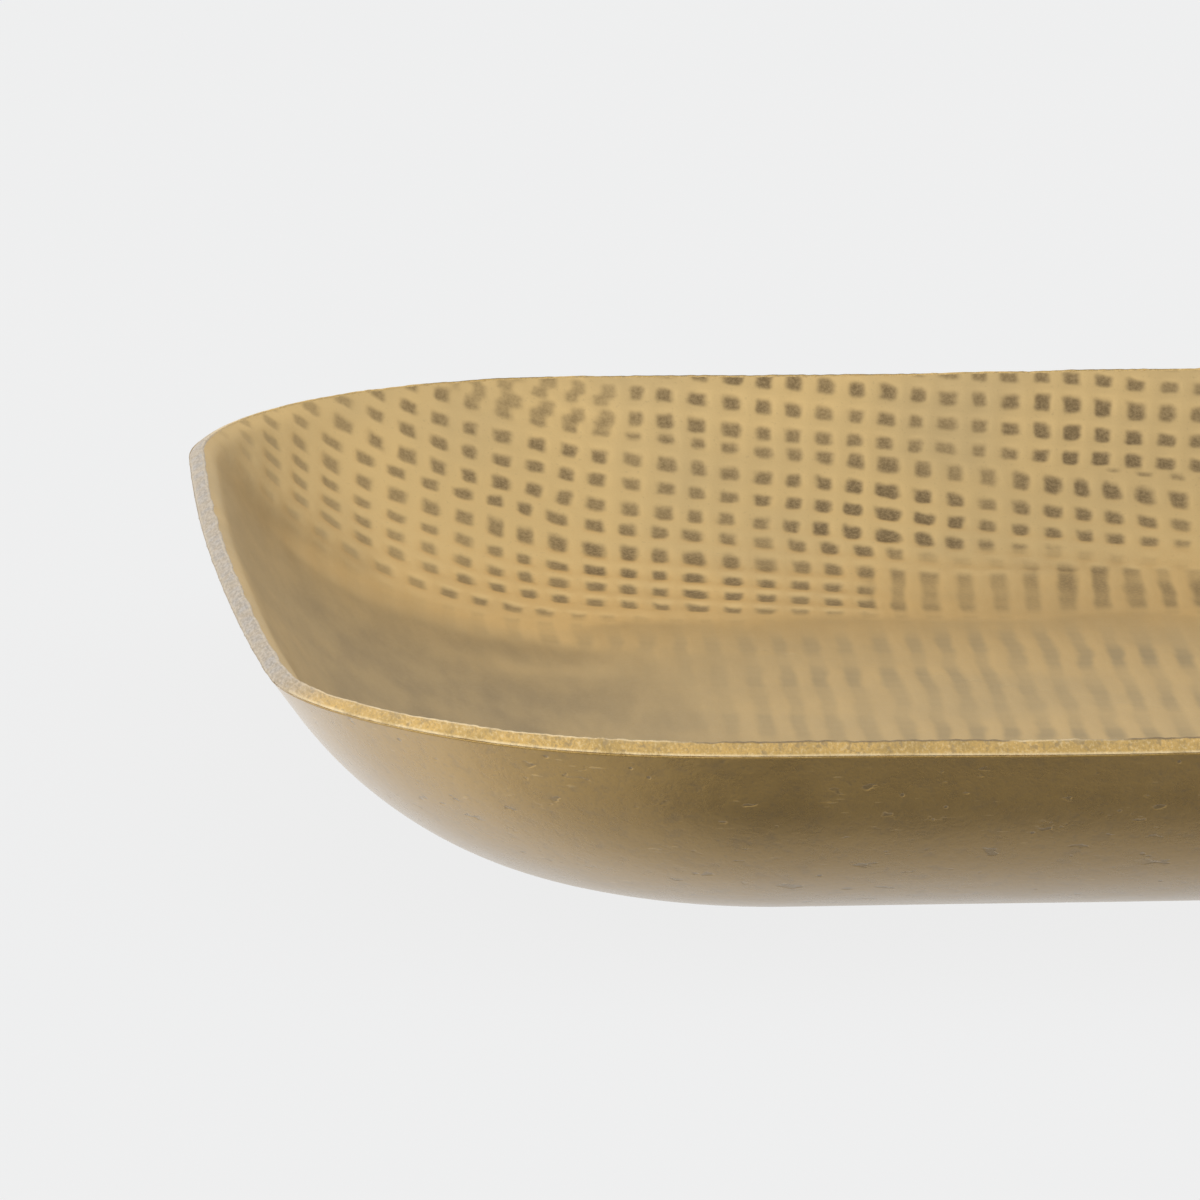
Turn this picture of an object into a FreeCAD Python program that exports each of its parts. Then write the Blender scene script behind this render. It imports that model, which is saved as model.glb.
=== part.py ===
"""Brass tray: one shallow rounded-rectangle casting resting on four stick-on felt pads.

Units are millimetres. The origin is on the table, under the middle of the tray.
+X runs along the tray's length, +Y across its width and +Z up.
The dish is one constant wall section carried round the rim outline. The outline is made of
tangent arcs (long, barely bowed sides and ends joined by round corners), so every section of
the wall is the same and every offset of the outline is again a set of tangent arcs.
"""

import FreeCAD, Part
import math
import os

import Sketcher

PARTS_DIR = "parts"

doc = FreeCAD.newDocument("BrassTray")

# --------------------------------------------------------------------------------------
# Driving dimensions, in millimetres and degrees
# --------------------------------------------------------------------------------------

DIMENSIONS = {
    "tray_length": 450.0,
    "tray_width": 334.0,
    "rim_height": 31.6,
    "wall": 3.1,
    "corner_radius": 72.0,
    "end_bow_radius": 2200.0,
    "side_bow_radius": 6200.0,
    "flare_angle": 54.0,
    "flare_length": 7.0,
    "upper_bend_radius": 59.0,
    "bend_change_angle": 16.2,
    "rim_tilt": 32.0,
    "rim_edge_round": 0.45,
    "pad_diameter": 14.0,
    "pad_thickness": 1.5,
    "pad_edge_round": 0.35,
    "pad_spacing_x": 270.0,
    "pad_spacing_y": 156.0,
}

# The lower bend fills the height that the flare and the upper bend leave, and meets the
# floor level, so its radius follows from the rim height.
DERIVED = {
    "flare_drop": "=flare_length * sin(flare_angle * 1deg)",
    "upper_bend_drop": "=upper_bend_radius * (cos(bend_change_angle * 1deg) - cos(flare_angle * 1deg))",
    "lower_bend_drop": "=rim_height - flare_drop - upper_bend_drop",
    "lower_bend_radius": "=lower_bend_drop / (1 - cos(bend_change_angle * 1deg))",
    "flare_run": "=flare_length * cos(flare_angle * 1deg)",
    "upper_bend_run": "=upper_bend_radius * (sin(flare_angle * 1deg) - sin(bend_change_angle * 1deg))",
    "lower_bend_run": "=lower_bend_radius * sin(bend_change_angle * 1deg)",
    "wall_run": "=flare_run + upper_bend_run + lower_bend_run",
}

sheet = doc.addObject("Spreadsheet::Sheet", "Dimensions")
for row, (alias, entry) in enumerate([*DIMENSIONS.items(), *DERIVED.items()], start=1):
    sheet.set(f"A{row}", alias)
    sheet.set(f"B{row}", str(entry))
    sheet.setAlias(f"B{row}", alias)
doc.recompute()


def size(alias):
    """The present value of a named dimension, used to draw a sketch close to its solution."""
    value = sheet.get(alias)
    return float(getattr(value, "Value", value))


def cell(alias):
    return "Dimensions." + alias


def vector(x, y):
    return FreeCAD.Vector(x, y, 0)


# --------------------------------------------------------------------------------------
# Sketch helpers
# --------------------------------------------------------------------------------------

START, END, CENTRE = 1, 2, 3
ORIGIN = (-1, 1)
X_AXIS, Y_AXIS = -1, -2


def new_sketch(body, name, plane_role):
    plane = next(f for f in body.Origin.OriginFeatures if f.Role == plane_role)
    sketch = body.newObject("Sketcher::SketchObject", name)
    sketch.AttachmentSupport = (plane, [""])
    sketch.MapMode = "FlatFace"
    return sketch


def drive(sketch, name, expression, kind, *reference):
    """Add a dimension to a sketch, name it and bind it to the sheet."""
    index = sketch.addConstraint(Sketcher.Constraint(kind, *reference))
    sketch.renameConstraint(index, name)
    sketch.setExpression("Constraints." + name, expression)


def arc(centre, radius, start, end):
    """An arc drawn anticlockwise between two angles in radians."""
    circle = Part.Circle(centre, FreeCAD.Vector(0, 0, 1), radius)
    return Part.ArcOfCircle(circle, start, end)


# --------------------------------------------------------------------------------------
# Rim outline: a closed chain of tangent arcs
# --------------------------------------------------------------------------------------

def cushion_layout(inset):
    """Arc centres, radii and meeting angles of the outline, moved in by an inset."""
    end_radius = size("end_bow_radius") - inset
    side_radius = size("side_bow_radius") - inset
    corner_radius = size("corner_radius") - inset
    end_centre = size("tray_length") / 2 - size("end_bow_radius")
    side_centre = size("tray_width") / 2 - size("side_bow_radius")
    to_end = end_radius - corner_radius
    to_side = side_radius - corner_radius
    # The corner centre is where circles about the end and side centres cross.
    span = math.hypot(end_centre, side_centre)
    along = (to_end**2 - to_side**2 + span**2) / (2 * span)
    across = math.sqrt(to_end**2 - along**2)
    ux, uy = -end_centre / span, side_centre / span
    corner_x = end_centre + along * ux - across * uy
    corner_y = along * uy + across * ux
    end_angle = math.atan2(corner_y, corner_x - end_centre)
    side_angle = math.atan2(corner_y - side_centre, corner_x)
    return {
        "end": (end_centre, end_radius),
        "side": (side_centre, side_radius),
        "corner": (corner_x, corner_y, corner_radius),
        "angles": (end_angle, side_angle),
    }


def draw_cushion(sketch, inset=0.0, inset_alias=None):
    """Draw the rim outline, or the outline moved in by a dimension of the sheet."""
    layout = cushion_layout(inset)
    end_centre, end_radius = layout["end"]
    side_centre, side_radius = layout["side"]
    corner_x, corner_y, corner_radius = layout["corner"]
    low, high = layout["angles"]
    turn = math.pi
    # Anticlockwise from the +X end. The +X end is split on the X axis, where the wall section
    # is drawn, so that the chain of arcs starts there.
    arcs = [
        arc(vector(end_centre, 0), end_radius, 0, low),
        arc(vector(corner_x, corner_y), corner_radius, low, high),
        arc(vector(0, side_centre), side_radius, high, turn - high),
        arc(vector(-corner_x, corner_y), corner_radius, turn - high, turn - low),
        arc(vector(-end_centre, 0), end_radius, turn - low, turn + low),
        arc(vector(-corner_x, -corner_y), corner_radius, turn + low, turn + high),
        arc(vector(0, -side_centre), side_radius, turn + high, 2 * turn - high),
        arc(vector(corner_x, -corner_y), corner_radius, 2 * turn - high, 2 * turn - low),
        arc(vector(end_centre, 0), end_radius, 2 * turn - low, 2 * turn),
    ]
    ids = [sketch.addGeometry(piece, False) for piece in arcs]
    end_right, corner_one, side_back, corner_two, end_left = ids[:5]
    corner_three, side_front, corner_four, end_close = ids[5:]
    for here, after in zip(ids[:-1], ids[1:]):
        sketch.addConstraint(Sketcher.Constraint("Tangent", here, END, after, START))
    sketch.addConstraint(Sketcher.Constraint("Coincident", end_close, END, end_right, START))
    sketch.addConstraint(Sketcher.Constraint("Coincident", end_close, CENTRE, end_right, CENTRE))
    sketch.addConstraint(Sketcher.Constraint("PointOnObject", end_right, START, X_AXIS))
    for end in (end_right, end_left):
        sketch.addConstraint(Sketcher.Constraint("PointOnObject", end, CENTRE, X_AXIS))
    for side in (side_back, side_front):
        sketch.addConstraint(Sketcher.Constraint("PointOnObject", side, CENTRE, Y_AXIS))
    for corner in (corner_two, corner_three, corner_four):
        sketch.addConstraint(Sketcher.Constraint("Equal", corner_one, corner))
    sketch.addConstraint(Sketcher.Constraint("Equal", end_right, end_left))
    sketch.addConstraint(Sketcher.Constraint("Equal", side_back, side_front))

    less = f" - {cell(inset_alias)}" if inset_alias else ""
    bow_x = f"{cell('end_bow_radius')} - {cell('tray_length')} / 2"
    bow_y = f"{cell('side_bow_radius')} - {cell('tray_width')} / 2"
    drive(sketch, "end_radius", cell("end_bow_radius") + less, "Radius", end_right, end_radius)
    drive(sketch, "side_radius", cell("side_bow_radius") + less, "Radius", side_back, side_radius)
    drive(sketch, "corner", cell("corner_radius") + less, "Radius", corner_one, corner_radius)
    drive(sketch, "right_centre", bow_x, "DistanceX", end_right, CENTRE, *ORIGIN, -end_centre)
    drive(sketch, "left_centre", bow_x, "DistanceX", *ORIGIN, end_left, CENTRE, -end_centre)
    drive(sketch, "back_centre", bow_y, "DistanceY", side_back, CENTRE, *ORIGIN, -side_centre)
    drive(sketch, "front_centre", bow_y, "DistanceY", *ORIGIN, side_front, CENTRE, -side_centre)


# --------------------------------------------------------------------------------------
# Wall section at the +X end, in the XZ plane
# --------------------------------------------------------------------------------------

def draw_wall_section(sketch):
    """A flared lip, an upper bend, a wide lower bend and the step that meets the floor."""
    wall = size("wall")
    flare = math.radians(size("flare_angle"))
    change = math.radians(size("bend_change_angle"))
    tilt = math.radians(size("rim_tilt"))
    upper, lower = size("upper_bend_radius"), size("lower_bend_radius")
    toe = vector(size("tray_length") / 2 - size("wall_run"), 0)
    lower_centre = toe + vector(0, lower)
    upper_centre = lower_centre + vector(math.sin(change), -math.cos(change)) * (lower - upper)
    outward = vector(math.sin(flare), -math.cos(flare))
    upward = vector(math.cos(flare), math.sin(flare))
    bend_top = upper_centre + outward * upper
    lip_outer = bend_top + upward * size("flare_length")
    inner_top = upper_centre + outward * (upper - wall)
    lip_reach = wall / math.cos(tilt - math.pi / 2 + flare)
    lip_inner = lip_outer + vector(-math.cos(tilt), math.sin(tilt)) * lip_reach
    down = -math.pi / 2

    floor_step = sketch.addGeometry(Part.LineSegment(toe + vector(0, wall), toe), False)
    outer_low = sketch.addGeometry(arc(lower_centre, lower, down, down + change), False)
    outer_high = sketch.addGeometry(arc(upper_centre, upper, down + change, down + flare), False)
    outer_lip = sketch.addGeometry(Part.LineSegment(bend_top, lip_outer), False)
    rim_face = sketch.addGeometry(Part.LineSegment(lip_outer, lip_inner), False)
    inner_lip = sketch.addGeometry(Part.LineSegment(lip_inner, inner_top), False)
    inner_high = sketch.addGeometry(
        arc(upper_centre, upper - wall, down + change, down + flare), False)
    inner_low = sketch.addGeometry(arc(lower_centre, lower - wall, down, down + change), False)

    add = sketch.addConstraint
    add(Sketcher.Constraint("Coincident", floor_step, END, outer_low, START))
    add(Sketcher.Constraint("Tangent", outer_low, END, outer_high, START))
    add(Sketcher.Constraint("Tangent", outer_high, END, outer_lip, START))
    add(Sketcher.Constraint("Coincident", outer_lip, END, rim_face, START))
    add(Sketcher.Constraint("Coincident", rim_face, END, inner_lip, START))
    add(Sketcher.Constraint("Tangent", inner_lip, END, inner_high, END))
    add(Sketcher.Constraint("Tangent", inner_high, START, inner_low, END))
    add(Sketcher.Constraint("Coincident", inner_low, START, floor_step, START))
    add(Sketcher.Constraint("Coincident", inner_high, CENTRE, outer_high, CENTRE))
    add(Sketcher.Constraint("Coincident", inner_low, CENTRE, outer_low, CENTRE))
    add(Sketcher.Constraint("Parallel", inner_lip, outer_lip))
    add(Sketcher.Constraint("Vertical", floor_step))
    add(Sketcher.Constraint("PointOnObject", outer_low, START, X_AXIS))
    add(Sketcher.Constraint("PointOnObject", outer_low, CENTRE, floor_step))

    toe_place = f"{cell('tray_length')} / 2 - {cell('wall_run')}"
    drive(sketch, "toe", toe_place, "DistanceX", *ORIGIN, outer_low, START, toe.x)
    drive(sketch, "wall", cell("wall"), "DistanceY", floor_step, END, floor_step, START, wall)
    drive(sketch, "lower_bend", cell("lower_bend_radius"), "Radius", outer_low, lower)
    drive(sketch, "upper_bend", cell("upper_bend_radius"), "Radius", outer_high, upper)
    drive(sketch, "lip_length", cell("flare_length"), "Distance", outer_lip,
          size("flare_length"))
    drive(sketch, "lip_angle", cell("flare_angle") + " * 1deg", "Angle", outer_lip, flare)
    drive(sketch, "rim_height", cell("rim_height"), "DistanceY", *ORIGIN, outer_lip, END,
          size("rim_height"))
    drive(sketch, "rim_tilt", f"180deg - {cell('rim_tilt')} * 1deg", "Angle", rim_face,
          math.pi - tilt)


# --------------------------------------------------------------------------------------
# Tray casting
# --------------------------------------------------------------------------------------

tray = doc.addObject("PartDesign::Body", "TrayCasting")
tray.Label = "tray_casting"
tray.setExpression("Placement.Base.z", cell("pad_thickness"))

rim_outline = new_sketch(tray, "RimOutline", "XY_Plane")
draw_cushion(rim_outline)
wall_section = new_sketch(tray, "WallSection", "XZ_Plane")
draw_wall_section(wall_section)
floor_outline = new_sketch(tray, "FloorOutline", "XY_Plane")
draw_cushion(floor_outline, size("wall_run"), "wall_run")
doc.recompute()

floor = tray.newObject("PartDesign::Pad", "Floor")
floor.Profile = floor_outline
floor.setExpression("Length", cell("wall") + " * 1mm")
doc.recompute()

dish_wall = tray.newObject("PartDesign::AdditivePipe", "DishWall")
dish_wall.Profile = wall_section
dish_wall.Spine = (rim_outline, [f"Edge{n}" for n in range(1, 10)])
dish_wall.Mode = "Binormal"
dish_wall.Binormal = FreeCAD.Vector(0, 0, 1)
dish_wall.Refine = True
doc.recompute()


# Both edges of the rim face are broken all the way round.
rim_shape = dish_wall.Shape
rim_levels = (size("rim_height"), max(edge.BoundBox.ZMax for edge in rim_shape.Edges))
rim_edges = []
for number, edge in enumerate(rim_shape.Edges, start=1):
    box = edge.BoundBox
    level = box.ZMax - box.ZMin < 1e-6
    if level and any(abs(box.ZMax - height) < 1e-4 for height in rim_levels):
        rim_edges.append(f"Edge{number}")

rim_break = tray.newObject("PartDesign::Fillet", "RimBreak")
rim_break.Base = (dish_wall, rim_edges)
rim_break.setExpression("Radius", cell("rim_edge_round") + " * 1mm")
doc.recompute()


# --------------------------------------------------------------------------------------
# Felt pads
# --------------------------------------------------------------------------------------

def felt_pad(label, side_x, side_y):
    """A round felt pad under the floor, with its lower edge slightly rounded by wear."""
    name = label.title().replace("_", "")
    pad_body = doc.addObject("PartDesign::Body", name)
    pad_body.Label = label
    pad_body.setExpression("Placement.Base.x", f"{side_x} * {cell('pad_spacing_x')} / 2")
    pad_body.setExpression("Placement.Base.y", f"{side_y} * {cell('pad_spacing_y')} / 2")

    disc = new_sketch(pad_body, name + "Disc", "XY_Plane")
    radius = size("pad_diameter") / 2
    ring = disc.addGeometry(Part.Circle(vector(0, 0), FreeCAD.Vector(0, 0, 1), radius), False)
    disc.addConstraint(Sketcher.Constraint("Coincident", ring, CENTRE, *ORIGIN))
    drive(disc, "diameter", cell("pad_diameter"), "Diameter", ring, 2 * radius)
    doc.recompute()

    felt = pad_body.newObject("PartDesign::Pad", name + "Felt")
    felt.Profile = disc
    felt.setExpression("Length", cell("pad_thickness") + " * 1mm")
    doc.recompute()

    lower_edge = next(
        number for number, edge in enumerate(felt.Shape.Edges, start=1)
        if edge.BoundBox.ZMax < size("pad_thickness") / 2
    )
    worn_edge = pad_body.newObject("PartDesign::Fillet", name + "WornEdge")
    worn_edge.Base = (felt, [f"Edge{lower_edge}"])
    worn_edge.setExpression("Radius", cell("pad_edge_round") + " * 1mm")
    return pad_body


pads = [
    felt_pad("felt_pad_front_left", -1, -1),
    felt_pad("felt_pad_front_right", 1, -1),
    felt_pad("felt_pad_back_left", -1, 1),
    felt_pad("felt_pad_back_right", 1, 1),
]

# --------------------------------------------------------------------------------------
# Check every object and write one file per piece
# --------------------------------------------------------------------------------------

doc.recompute()
for item in doc.Objects:
    faults = {"Invalid", "Error"} & set(item.State)
    if faults:
        raise RuntimeError(f"{item.Name} is {', '.join(faults)}")

os.makedirs(PARTS_DIR, exist_ok=True)
for piece in [tray, *pads]:
    shape = piece.Shape
    if shape.isNull() or not shape.isValid():
        raise RuntimeError(f"{piece.Label} has no valid shape")
    shape.exportStep(os.path.join(PARTS_DIR, piece.Label + ".step"))
    box = shape.optimalBoundingBox()
    print(f"{piece.Label}: {len(shape.Solids)} solid, {shape.Volume / 1000:.2f} cm3, "
          f"x {box.XMin:.2f} to {box.XMax:.2f}, y {box.YMin:.2f} to {box.YMax:.2f}, "
          f"z {box.ZMin:.2f} to {box.ZMax:.2f} mm")
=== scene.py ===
"""Visual model of the brass tray: a sand-cast dish whose inside carries the print of a net.

Everything is in metres in the frame of the CAD model: +X along the tray, +Y across it and
+Z up, with the origin on the table under the middle of the tray.
"""

import math

import bpy
import numpy as np
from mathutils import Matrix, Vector


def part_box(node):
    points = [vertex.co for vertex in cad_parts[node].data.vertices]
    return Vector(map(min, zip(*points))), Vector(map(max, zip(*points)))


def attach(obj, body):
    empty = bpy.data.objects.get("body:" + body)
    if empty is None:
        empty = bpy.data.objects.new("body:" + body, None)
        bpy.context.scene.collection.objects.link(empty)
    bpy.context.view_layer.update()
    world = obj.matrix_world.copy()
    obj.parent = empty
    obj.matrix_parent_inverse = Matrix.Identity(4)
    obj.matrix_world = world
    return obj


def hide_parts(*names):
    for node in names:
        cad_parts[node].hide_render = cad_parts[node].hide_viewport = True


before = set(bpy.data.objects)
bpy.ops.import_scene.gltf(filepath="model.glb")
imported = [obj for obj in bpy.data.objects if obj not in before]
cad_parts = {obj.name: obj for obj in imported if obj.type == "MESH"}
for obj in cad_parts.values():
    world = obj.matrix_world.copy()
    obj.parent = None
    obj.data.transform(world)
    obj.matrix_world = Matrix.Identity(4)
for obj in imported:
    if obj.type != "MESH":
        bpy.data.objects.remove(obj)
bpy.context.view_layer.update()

MM = 0.001
SEED = 7

# --------------------------------------------------------------------------------------
# The dish: rim outline and wall section, the same as in the CAD model
# --------------------------------------------------------------------------------------

CASTING_LOW, CASTING_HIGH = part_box("tray_casting")
BASE_Z = CASTING_LOW[2]

WALL = 3.1 * MM
CORNER_RADIUS = 72.0 * MM
END_BOW_RADIUS = 2200.0 * MM
SIDE_BOW_RADIUS = 6200.0 * MM
FLARE = math.radians(54.0)
FLARE_LENGTH = 7.0 * MM
UPPER_BEND = 59.0 * MM
BEND_CHANGE = math.radians(16.2)
RIM_TILT = math.radians(32.0)
RIM_HEIGHT = 31.6 * MM
RIM_ROUNDING_LOSS = 0.2 * MM

HALF_LENGTH = CASTING_HIGH[0] + RIM_ROUNDING_LOSS
HALF_WIDTH = CASTING_HIGH[1] + RIM_ROUNDING_LOSS

LIP_REACH = WALL / math.cos(RIM_TILT - math.pi / 2 + FLARE)
RIM_RUN = LIP_REACH * math.cos(RIM_TILT)
RIM_RISE = LIP_REACH * math.sin(RIM_TILT)


def section_sizes():
    """The lower bend's radius and the horizontal run of each stretch of the outer wall."""
    upper_drop = UPPER_BEND * (math.cos(BEND_CHANGE) - math.cos(FLARE))
    lower_drop = RIM_HEIGHT - FLARE_LENGTH * math.sin(FLARE) - upper_drop
    lower_bend = lower_drop / (1 - math.cos(BEND_CHANGE))
    lower_run = lower_bend * math.sin(BEND_CHANGE)
    upper_run = UPPER_BEND * (math.sin(FLARE) - math.sin(BEND_CHANGE))
    return lower_bend, lower_run, upper_run, FLARE_LENGTH * math.cos(FLARE)


LOWER_BEND, LOWER_RUN, UPPER_RUN, FLARE_RUN = section_sizes()
WALL_RUN = LOWER_RUN + UPPER_RUN + FLARE_RUN
FLOOR_X = HALF_LENGTH - WALL_RUN
FLOOR_Y = HALF_WIDTH - WALL_RUN


class Section:
    """One face of the wall, followed by its length from the foot of the wall up to the lip."""

    def __init__(self, offset, height, lip_length):
        self.radii = (LOWER_BEND - offset, UPPER_BEND - offset)
        self.height = height
        self.low = self.radii[0] * BEND_CHANGE
        self.high = self.low + self.radii[1] * (FLARE - BEND_CHANGE)
        self.length = self.high + lip_length

    def at(self, along):
        """Run from the foot, height and slope for an array of lengths; below 0 is the floor."""
        low_radius, high_radius = self.radii
        slope = np.where(
            along < self.low,
            np.clip(along, 0, None) / low_radius,
            np.clip(BEND_CHANGE + (along - self.low) / high_radius, None, FLARE),
        )
        first = np.minimum(slope, BEND_CHANGE)
        lip = np.clip(along - self.high, 0, None)
        run = low_radius * np.sin(first) + high_radius * (np.sin(slope) - np.sin(first))
        rise = low_radius * (1 - np.cos(first)) + high_radius * (np.cos(first) - np.cos(slope))
        run = run + lip * math.cos(FLARE) + np.minimum(along, 0)
        return run, self.height + rise + lip * math.sin(FLARE), slope

    def length_at(self, run):
        """The length up the wall at a horizontal run from its foot."""
        table = np.linspace(0, self.length * 1.05, 400)
        runs = self.at(table)[0]
        return np.interp(run, runs, table)


INSIDE = Section(WALL, BASE_Z + WALL, FLARE_LENGTH - LIP_REACH * math.cos(RIM_TILT + FLARE))
OUTSIDE = Section(0.0, BASE_Z, FLARE_LENGTH)


def ring(inset, spacing):
    """The outline moved in by an inset, as points and plan normals, with even spacing.

    It is split into eight stretches, end, corner, side, corner and so on anticlockwise from
    the +X end. The third result gives the number of divisions of each stretch.
    """
    end_centre = HALF_LENGTH - END_BOW_RADIUS
    side_centre = HALF_WIDTH - SIDE_BOW_RADIUS
    end_radius, side_radius = END_BOW_RADIUS - inset, SIDE_BOW_RADIUS - inset
    corner_radius = max(CORNER_RADIUS - inset, 0.0)
    to_end, to_side = end_radius - corner_radius, side_radius - corner_radius
    span = math.hypot(end_centre, side_centre)
    along = (to_end**2 - to_side**2 + span**2) / (2 * span)
    across = math.sqrt(max(to_end**2 - along**2, 0.0))
    ux, uy = -end_centre / span, side_centre / span
    corner_x = end_centre + along * ux - across * uy
    corner_y = along * uy + across * ux
    low = math.atan2(corner_y, corner_x - end_centre)
    high = math.atan2(corner_y - side_centre, corner_x)
    pieces = [
        (end_centre, 0, end_radius, -low, low),
        (corner_x, corner_y, corner_radius, low, high),
        (0, side_centre, side_radius, high, math.pi - high),
        (-corner_x, corner_y, corner_radius, math.pi - high, math.pi - low),
    ]
    pieces += [(-x, -y, r, a + math.pi, b + math.pi) for x, y, r, a, b in pieces]
    points, normals, counts = [], [], []
    for x, y, radius, start, stop in pieces:
        n = int(round(radius * (stop - start) / spacing))
        counts.append(n if radius == corner_radius else max(n, 1))
        if not counts[-1]:
            continue
        angle = start + (stop - start) * np.arange(counts[-1]) / counts[-1]
        normal = np.column_stack([np.cos(angle), np.sin(angle)])
        points.append(np.array([x, y]) + radius * normal)
        normals.append(normal)
    return np.vstack(points), np.vstack(normals), counts


def zip_stretch(outer, inner, first, second):
    """Triangles between two rows of vertices that divide the same stretch differently."""
    faces = []
    i = j = 0
    while i < first or j < second:
        if j >= second or (i < first and (i + 1) * second <= (j + 1) * first):
            faces.append((outer[i], outer[i + 1], inner[j]))
            i += 1
        else:
            faces.append((outer[i], inner[j + 1], inner[j]))
            j += 1
    return faces


def join_rings(outer_start, outer_counts, inner_start, inner_counts):
    """Faces between two rings, quads wherever both divide a stretch alike."""
    faces = []
    outer_total, inner_total = sum(outer_counts), sum(inner_counts)
    i = j = 0
    for first, second in zip(outer_counts, inner_counts):
        outer = [outer_start + (i + k) % outer_total for k in range(first + 1)]
        inner = [inner_start + (j + k) % inner_total for k in range(second + 1)]
        if first == second:
            faces += [
                (outer[k], outer[k + 1], inner[k + 1], inner[k]) for k in range(first)
            ]
        else:
            faces += zip_stretch(outer, inner, first, second)
        i += first
        j += second
    return faces


def build_mesh(name, points, faces, attributes=None):
    """A smooth-shaded object from vertex positions, faces and named vertex attributes."""
    mesh = bpy.data.meshes.new(name)
    mesh.from_pydata(points.tolist(), [], faces)
    for key, values in (attributes or {}).items():
        kind = "FLOAT_VECTOR" if values.ndim == 2 else "FLOAT"
        layer = mesh.attributes.new(key, kind, "POINT")
        layer.data.foreach_set("vector" if values.ndim == 2 else "value", values.ravel())
    mesh.polygons.foreach_set("use_smooth", np.ones(len(faces), bool))
    mesh.update()
    piece = bpy.data.objects.new(name, mesh)
    bpy.context.scene.collection.objects.link(piece)
    return piece


def sweep_section(stations, spacing):
    """Rings for a list of (inset, height) stations, joined into one skin.

    The front of the faces is up where the stations move inwards. Returns positions, outward
    plan normals, station indices, faces and the last ring.
    """
    points, normals, index, faces = [], [], [], []
    start = 0
    last = None
    for number, (inset, height) in enumerate(stations):
        plan, normal, counts = ring(inset, spacing)
        points.append(np.column_stack([plan, np.full(len(plan), height)]))
        normals.append(normal)
        index.append(np.full(len(plan), number))
        if last is not None:
            faces += join_rings(last[0], last[1], start, counts)
        last = (start, counts)
        start += len(plan)
    return np.vstack(points), np.vstack(normals), np.concatenate(index), faces, last


def close_floor(start, counts):
    """Faces that close the narrow slot left inside the last ring of a floor."""
    total = sum(counts)
    at = np.concatenate([[0], np.cumsum(counts)])
    back, front = 2, 6
    back_row = [start + k % total for k in range(at[back], at[back + 1] + 1)]
    front_row = [start + k % total for k in range(at[front], at[front + 1] + 1)][::-1]
    faces = zip_stretch(front_row, back_row, len(front_row) - 1, len(back_row) - 1)
    return [face[::-1] for face in faces]


# --------------------------------------------------------------------------------------
# Slow unevenness that the whole casting shares
# --------------------------------------------------------------------------------------

def smooth(low, high, value):
    """A smooth step from 0 at low to 1 at high."""
    t = np.clip((value - low) / (high - low), 0, 1)
    return t * t * (3 - 2 * t)


def band(value, rise, fall):
    """1 between a rise and a fall, each the two ends of a smooth step, and 0 beyond them."""
    return smooth(*rise, value) * (1 - smooth(*fall, value))


class Ripple:
    """A smooth random field: a few sine waves with random directions and phases."""

    def __init__(self, seed, wavelength, waves=9):
        rng = np.random.default_rng(seed)
        angle = rng.uniform(0, 2 * math.pi, waves)
        scale = rng.uniform(0.7, 1.6, waves) * 2 * math.pi / wavelength
        self.kx, self.ky = scale * np.cos(angle), scale * np.sin(angle)
        self.phase = rng.uniform(0, 2 * math.pi, waves)

    def at(self, x, y):
        waves = np.sin(np.outer(x, self.kx) + np.outer(y, self.ky) + self.phase)
        return waves.sum(axis=1) * math.sqrt(2 / len(self.phase)) / 1.5


RIM_WAVE = Ripple(SEED, 90 * MM, 7)
WALL_SWELL = Ripple(SEED + 1, 60 * MM)
NET_SHIFT = Ripple(SEED + 2, 34.0)
DEPTH_NOISE = Ripple(SEED + 3, 45.0)
FLOOR_PATCHES = Ripple(SEED + 4, 30.0, 17)
EDGE_WANDER = Ripple(SEED + 9, 42.0)
BURR_COARSE = Ripple(SEED + 5, 14 * MM)
BURR_FINE = Ripple(SEED + 6, 2.6 * MM, 21)


RAISED_CORNER = (-190 * MM, 150 * MM)
RAISED_RADIUS = 55 * MM
CORNER_LIFT = 0.8
WAVE_LIFT = 0.16
LOWEST_LIFT = 10 * MM


def settle(points):
    """Hand-moulded unevenness: the rim rises and falls, highest at the back left corner."""
    x, y, z = points.T
    height = smooth(BASE_Z + LOWEST_LIFT, BASE_Z + RIM_HEIGHT, z)
    from_corner = (x - RAISED_CORNER[0]) ** 2 + (y - RAISED_CORNER[1]) ** 2
    corner = np.exp(-from_corner / RAISED_RADIUS**2)
    points[:, 2] += height * (CORNER_LIFT * corner + WAVE_LIFT * RIM_WAVE.at(x, y)) * MM
    return points


BURR_REACH = 2.5 * MM
END_FILING = (185 * MM, 215 * MM)


def burr(points, normals, near):
    """The ragged inner edge of the rim, filed back at both ends of the tray.

    near is 1 on that edge and fades to 0 beside it. The amounts are in millimetres.
    """
    x, y = points.T[:2]
    coarse, fine = BURR_COARSE.at(x, y), BURR_FINE.at(x, y)
    thin_end = 0.5 * smooth(*END_FILING, np.abs(x))
    rough = 1 - thin_end
    inwards = (0.15 * coarse + 0.08 * fine) * rough - thin_end
    upwards = (0.09 * coarse + 0.05 * fine) * rough - thin_end * math.tan(RIM_TILT)
    points[:, :2] -= normals * (inwards * near * MM)[:, None]
    points[:, 2] += upwards * near * MM
    return points


# --------------------------------------------------------------------------------------
# The print of the net
# --------------------------------------------------------------------------------------

STRAND_DEPTH = 0.42 * MM
MOST_STRANDS = 120


def cloth_position(x, y):
    """Where a point of the dish lies on a net pressed into it, in millimetres."""
    def stretch(value, floor):
        over = np.abs(value) - floor
        up_wall = INSIDE.length_at(np.clip(over, 0, None))
        return np.sign(value) * (np.minimum(np.abs(value), floor) + up_wall) / MM
    return stretch(x, FLOOR_X), stretch(y, FLOOR_Y)


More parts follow.
